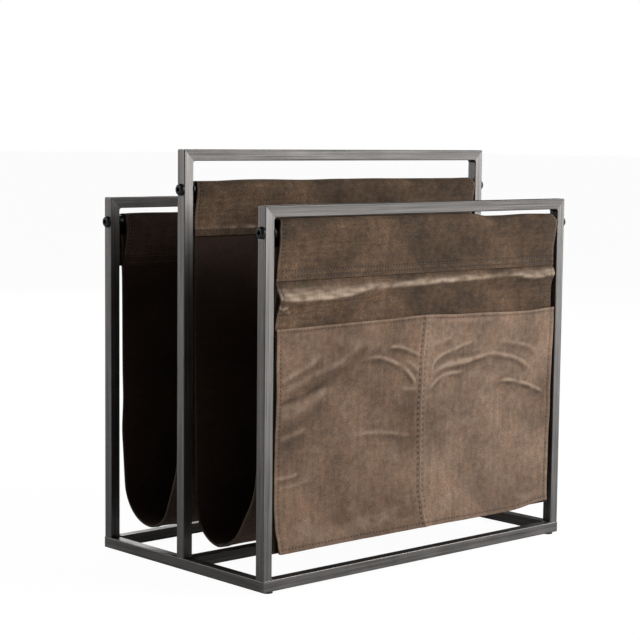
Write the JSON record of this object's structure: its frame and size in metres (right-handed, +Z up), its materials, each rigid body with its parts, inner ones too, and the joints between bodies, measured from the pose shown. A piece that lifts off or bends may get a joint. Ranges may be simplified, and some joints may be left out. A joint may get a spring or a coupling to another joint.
{
  "type": "magazine rack",
  "caption": "Floor-standing magazine rack: a slim square-tube metal frame with leather pockets slung between hanger rods and a loose leather apron in front.",
  "frame": {"origin": "on the floor under the middle of the rack", "axes": "+X along the rods to the right as seen from the apron, +Y from the apron to the back, +Z up"},
  "size_m": [0.3856, 0.2324, 0.3725],
  "materials": {
    "frame_metal": "brushed gunmetal grey with a clear lacquer",
    "rod_metal": "plain drawn bar, same grey",
    "screw_metal": "black oxide, satin",
    "glide_plastic": "matt black",
    "sleeve_leather": "taupe brown nubuck, topstitched",
    "sling_leather": "taupe brown nubuck outside, suede inside",
    "apron_leather": "taupe brown nubuck, creased, topstitched",
    "lining_leather": "dark brown suede backing"
  },
  "bodies": {
    "rack": {"glides": "glide_plastic", "base_front_rail": "frame_metal", "base_back_rail": "frame_metal", "base_left_rail": "frame_metal", "base_right_rail": "frame_metal", "base_centre_rail": "frame_metal", "foot_welds": "frame_metal", "front_left_upright": "frame_metal", "front_right_upright": "frame_metal", "front_top_bar": "frame_metal", "middle_left_upright": "frame_metal", "middle_right_upright": "frame_metal", "middle_top_bar": "frame_metal", "back_left_upright": "frame_metal", "back_right_upright": "frame_metal", "back_top_bar": "frame_metal", "front_hanger_rod": "rod_metal", "middle_hanger_rod": "rod_metal", "back_hanger_rod": "rod_metal", "front_rod_screws": "screw_metal", "middle_rod_screws": "screw_metal", "back_rod_screws": "screw_metal", "front_sleeve": "sleeve_leather", "middle_sleeve": "sleeve_leather", "back_sleeve": "sleeve_leather", "front_sling": "sling_leather", "back_sling": "sling_leather"},
    "apron": {"apron_band": "apron_leather", "apron_left_panel": "apron_leather", "apron_right_panel": "apron_leather", "apron_lining": "lining_leather"}
  },
  "joints": [
    {"name": "apron_lift", "type": "hinge", "parent": "rack", "child": "apron", "pos_m": [0, -0.1106, 0.2637], "axis": [-1, 0, 0], "range_deg": [-4, 90]}
  ]
}
